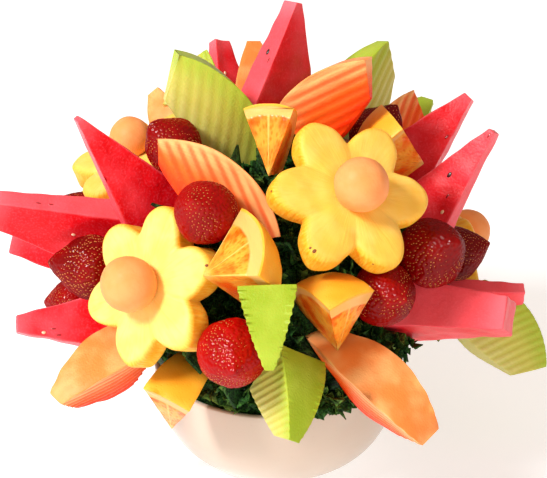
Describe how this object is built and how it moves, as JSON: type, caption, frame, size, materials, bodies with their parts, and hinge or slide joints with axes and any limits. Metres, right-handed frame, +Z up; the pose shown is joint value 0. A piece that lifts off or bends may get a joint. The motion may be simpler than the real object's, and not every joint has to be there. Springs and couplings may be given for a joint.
{
  "type": "fruit bouquet",
  "caption": "Cut fruit on skewers standing out of a mound of curly kale in a round cream bowl, with flower-cut slices and crinkle-cut wedges.",
  "frame": {"origin": "centre of the bowl's flat foot, on the surface it stands on", "axes": "+Z up, -Y to the front, +X to the viewer's right"},
  "size_m": [0.3476, 0.337, 0.2798],
  "materials": {
    "bowl_cream": "glazed, plain cream",
    "kale_green": "matt curly leaf",
    "watermelon_red": "moist cut flesh",
    "cantaloupe_orange": "moist crinkle-cut flesh",
    "honeydew_green": "moist crinkle-cut flesh",
    "strawberry_red": "glossy with small seeds",
    "citrus_flesh": "moist segments, pale pith, orange rind",
    "pineapple_yellow": "moist cut flesh",
    "melon_ball": "moist scooped flesh"
  },
  "bodies": {
    "root": {"bowl": "bowl_cream", "kale": "kale_green", "watermelon_01": "watermelon_red", "watermelon_02": "watermelon_red", "watermelon_03": "watermelon_red", "watermelon_04": "watermelon_red", "watermelon_05": "watermelon_red", "watermelon_06": "watermelon_red", "watermelon_07": "watermelon_red", "watermelon_08": "watermelon_red", "watermelon_09": "watermelon_red", "watermelon_10": "watermelon_red", "watermelon_11": "watermelon_red", "watermelon_12": "watermelon_red", "watermelon_13": "watermelon_red", "cantaloupe_01": "cantaloupe_orange", "cantaloupe_02": "cantaloupe_orange", "cantaloupe_03": "cantaloupe_orange", "cantaloupe_04": "cantaloupe_orange", "cantaloupe_05": "cantaloupe_orange", "cantaloupe_06": "cantaloupe_orange", "cantaloupe_07": "cantaloupe_orange", "cantaloupe_08": "cantaloupe_orange", "honeydew_01": "honeydew_green", "honeydew_02": "honeydew_green", "honeydew_03": "honeydew_green", "honeydew_04": "honeydew_green", "honeydew_05": "honeydew_green", "honeydew_06": "honeydew_green", "honeydew_07": "honeydew_green", "honeydew_08": "honeydew_green", "honeydew_09": "honeydew_green", "strawberry_01": "strawberry_red", "strawberry_02": "strawberry_red", "strawberry_03": "strawberry_red", "strawberry_04": "strawberry_red", "strawberry_05": "strawberry_red", "strawberry_06": "strawberry_red", "strawberry_07": "strawberry_red", "strawberry_08": "strawberry_red", "strawberry_09": "strawberry_red", "strawberry_10": "strawberry_red", "strawberry_11": "strawberry_red", "orange_01": "citrus_flesh", "orange_02": "citrus_flesh", "orange_03": "citrus_flesh", "orange_04": "citrus_flesh", "orange_05": "citrus_flesh", "orange_06": "citrus_flesh", "pineapple_01": "pineapple_yellow", "pineapple_02": "pineapple_yellow", "pineapple_03": "pineapple_yellow", "pineapple_04": "pineapple_yellow", "pineapple_05": "pineapple_yellow", "melon_ball_01": "melon_ball", "melon_ball_02": "melon_ball", "melon_ball_03": "melon_ball", "melon_ball_04": "melon_ball", "melon_ball_05": "melon_ball"}
  },
  "joints": []
}
